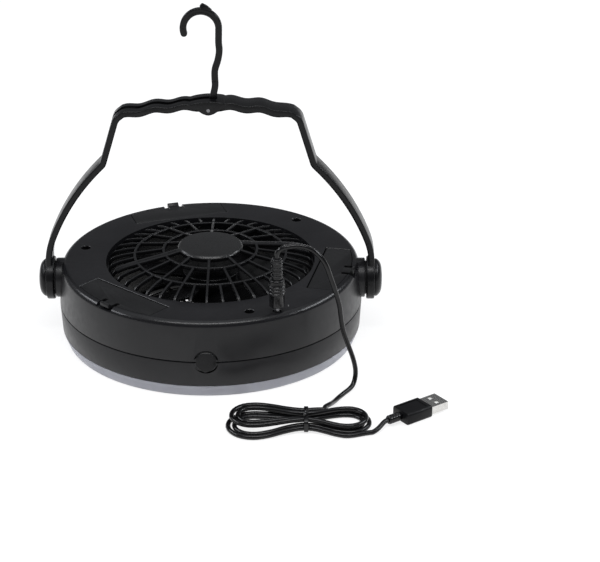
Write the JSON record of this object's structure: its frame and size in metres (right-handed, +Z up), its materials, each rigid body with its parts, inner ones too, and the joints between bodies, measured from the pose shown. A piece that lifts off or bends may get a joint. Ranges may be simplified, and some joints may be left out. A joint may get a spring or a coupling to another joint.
{
  "type": "portable camping fan",
  "caption": "Round battery fan with domed intake grille, ring light below, swinging handle with folding hook, and a plugged power lead wound in a hank.",
  "frame": {"origin": "centre of the body's underside, on the surface it stands on", "axes": "+Z up along the fan's axis, +X to the right along the handle's pivots, +Y to the rear, away from the power button"},
  "size_m": [0.2378, 0.2289, 0.204],
  "materials": {
    "black_shell": "satin black ABS",
    "gloss_black": "glossy black",
    "frosted_lens": "frosted translucent, seen unlit",
    "led_lens": "small diode lenses",
    "circuit_board": "lacquered board",
    "bright_metal": "nickel plated",
    "bronze": "sintered",
    "dark_insulator": "matte",
    "white_insulator": "matte",
    "soft_black": "soft vinyl"
  },
  "bodies": {
    "body": {"upper_housing": "black_shell", "lower_housing": "black_shell", "light_lens": "frosted_lens", "led_board": "circuit_board", "leds": "led_lens", "intake_grille": "black_shell", "grille_cap": "black_shell", "outlet_grille": "black_shell", "motor_bracket": "black_shell", "motor_can": "bright_metal", "motor_bush": "bronze", "tray_right": "black_shell", "tray_rear": "black_shell", "tray_front": "black_shell", "contact_plates": "bright_metal", "contact_springs": "bright_metal", "power_switch": "dark_insulator", "control_board": "circuit_board", "dc_socket": "dark_insulator", "housing_screws": "bright_metal", "washer_right": "soft_black", "washer_left": "soft_black", "stud_right": "bright_metal", "stud_left": "bright_metal", "knob_right": "black_shell", "knob_left": "black_shell", "dc_barrel": "bright_metal", "dc_plug": "soft_black", "dc_relief": "soft_black", "cord_lead": "soft_black", "cord_hank": "soft_black", "cord_tie": "soft_black", "cord_tail": "soft_black", "usb_relief": "soft_black", "usb_plug": "soft_black", "usb_shell": "bright_metal", "usb_tongue": "white_insulator"},
    "rotor": {"motor_shaft": "bright_metal", "fan_rotor": "gloss_black"},
    "button": {"power_button": "black_shell"},
    "door_right_leaf": {"door_right": "black_shell"},
    "door_rear_leaf": {"door_rear": "black_shell"},
    "door_front_leaf": {"door_front": "black_shell"},
    "handle_arm": {"handle": "black_shell", "hook_pin": "bright_metal"},
    "hook_arm": {"hook": "black_shell"}
  },
  "joints": [
    {"name": "fan_spin", "type": "hinge", "parent": "body", "child": "rotor", "pos_m": [0, 0, 0.03], "axis": [0, 0, 1], "continuous": true},
    {"name": "button_press", "type": "slide", "parent": "body", "child": "button", "axis": [0, 1, 0], "range_m": [0, 0.0012], "stiffness_N_per_m": 600, "springref_m": -0.0006},
    {"name": "handle_tilt", "type": "hinge", "parent": "body", "child": "handle_arm", "pos_m": [0, 0, 0.0343], "axis": [1, 0, 0], "range_deg": [-95, 45]},
    {"name": "hook_fold", "type": "hinge", "parent": "handle_arm", "child": "hook_arm", "pos_m": [0.0006, 0, 0.1425], "axis": [0, 1, 0], "range_deg": [-90, 0]},
    {"name": "door_right_open", "type": "hinge", "parent": "body", "child": "door_right_leaf", "pos_m": [0.06431, -0.01344, 0.0454], "axis": [-0.2045, -0.9789, 0], "range_deg": [0, 75]},
    {"name": "door_rear_open", "type": "hinge", "parent": "body", "child": "door_rear_leaf", "pos_m": [-0.02052, 0.06241, 0.0454], "axis": [0.95, 0.3123, 0], "range_deg": [0, 75]},
    {"name": "door_front_open", "type": "hinge", "parent": "body", "child": "door_front_leaf", "pos_m": [-0.04379, -0.04898, 0.0454], "axis": [-0.7455, 0.6665, 0], "range_deg": [0, 75]}
  ]
}
